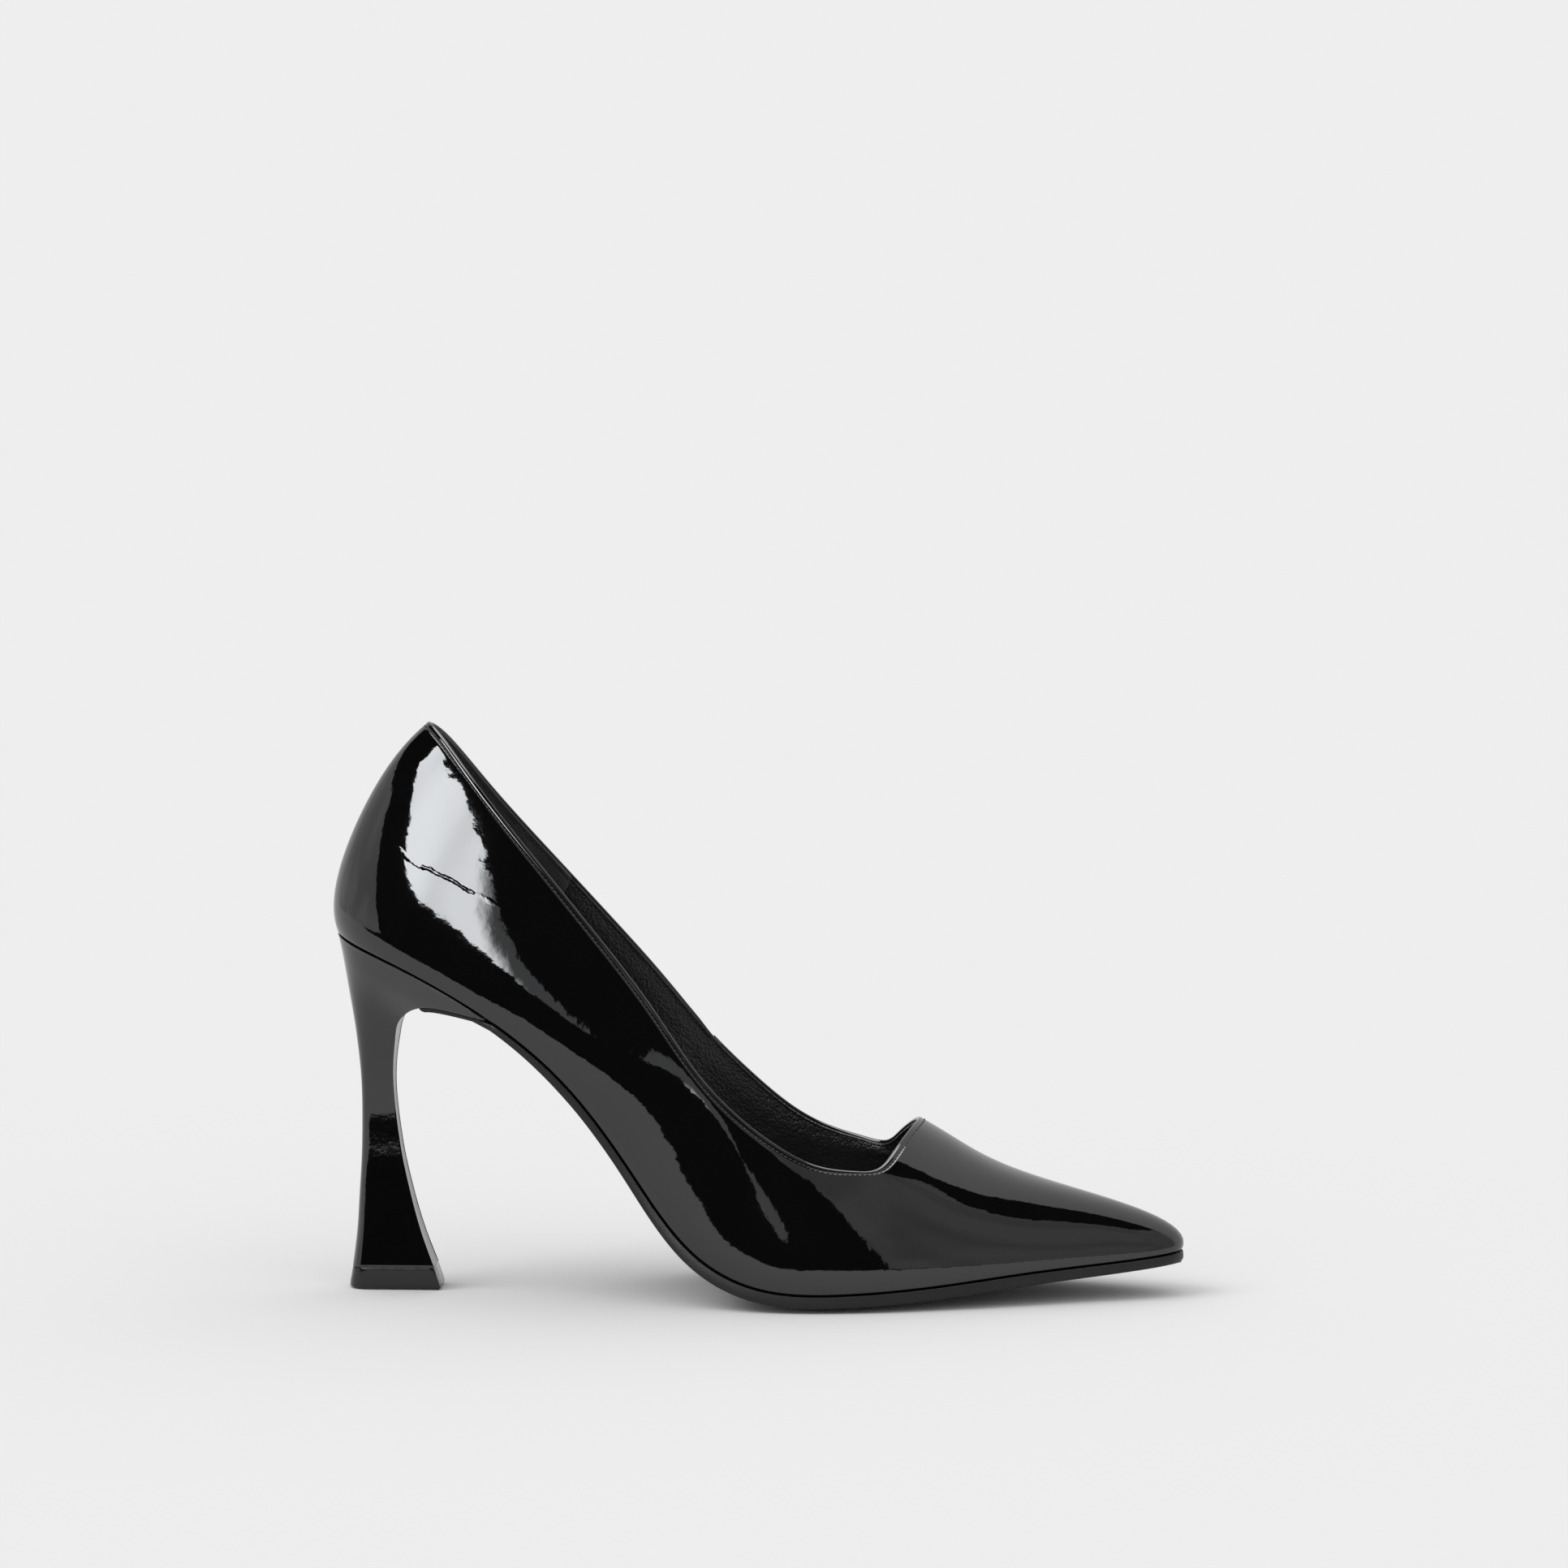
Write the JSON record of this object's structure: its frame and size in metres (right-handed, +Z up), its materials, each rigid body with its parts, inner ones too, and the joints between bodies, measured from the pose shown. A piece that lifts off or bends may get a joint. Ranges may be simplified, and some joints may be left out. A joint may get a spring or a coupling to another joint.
{
  "type": "high heel pump",
  "caption": "Right-foot pointed pump in black patent leather with a slim waisted high heel, topline stitching, dark grained lining and a thin outsole.",
  "frame": {"origin": "centre of the heel tip's bottom face, on the floor the shoe stands on", "axes": "+X from heel to toe, +Y to the inner (medial) side of the foot, +Z up"},
  "size_m": [0.2255, 0.0755, 0.1512],
  "materials": {
    "patent": "gloss",
    "lining": "satin",
    "sole_leather": "matte",
    "thread": "satin",
    "tape": "matte",
    "stiffener": "matte",
    "fabric_backing": "matte",
    "board": "matte",
    "cork": "matte",
    "foam": "matte",
    "steel": "satin",
    "heel_plastic": "matte",
    "top_piece_plastic": "gloss"
  },
  "bodies": {
    "root": {"upper_main": "patent", "upper_medial_quarter": "patent", "vamp_lining": "lining", "heel_grip": "lining", "heel_counter": "stiffener", "interlining": "fabric_backing", "toe_puff": "stiffener", "topline_tape": "tape", "topline_stitching": "thread", "insole_board": "board", "shank_board": "board", "steel_shank": "steel", "shank_rivets": "steel", "forepart_filler": "cork", "sock_foam": "foam", "sock_lining": "lining", "outsole": "sole_leather", "heel_core": "heel_plastic", "heel_cover": "patent", "breast_cover": "patent", "heel_pin": "steel", "top_piece": "top_piece_plastic", "top_piece_dowel": "steel", "heel_screw": "steel", "heel_nails": "steel"}
  },
  "joints": []
}
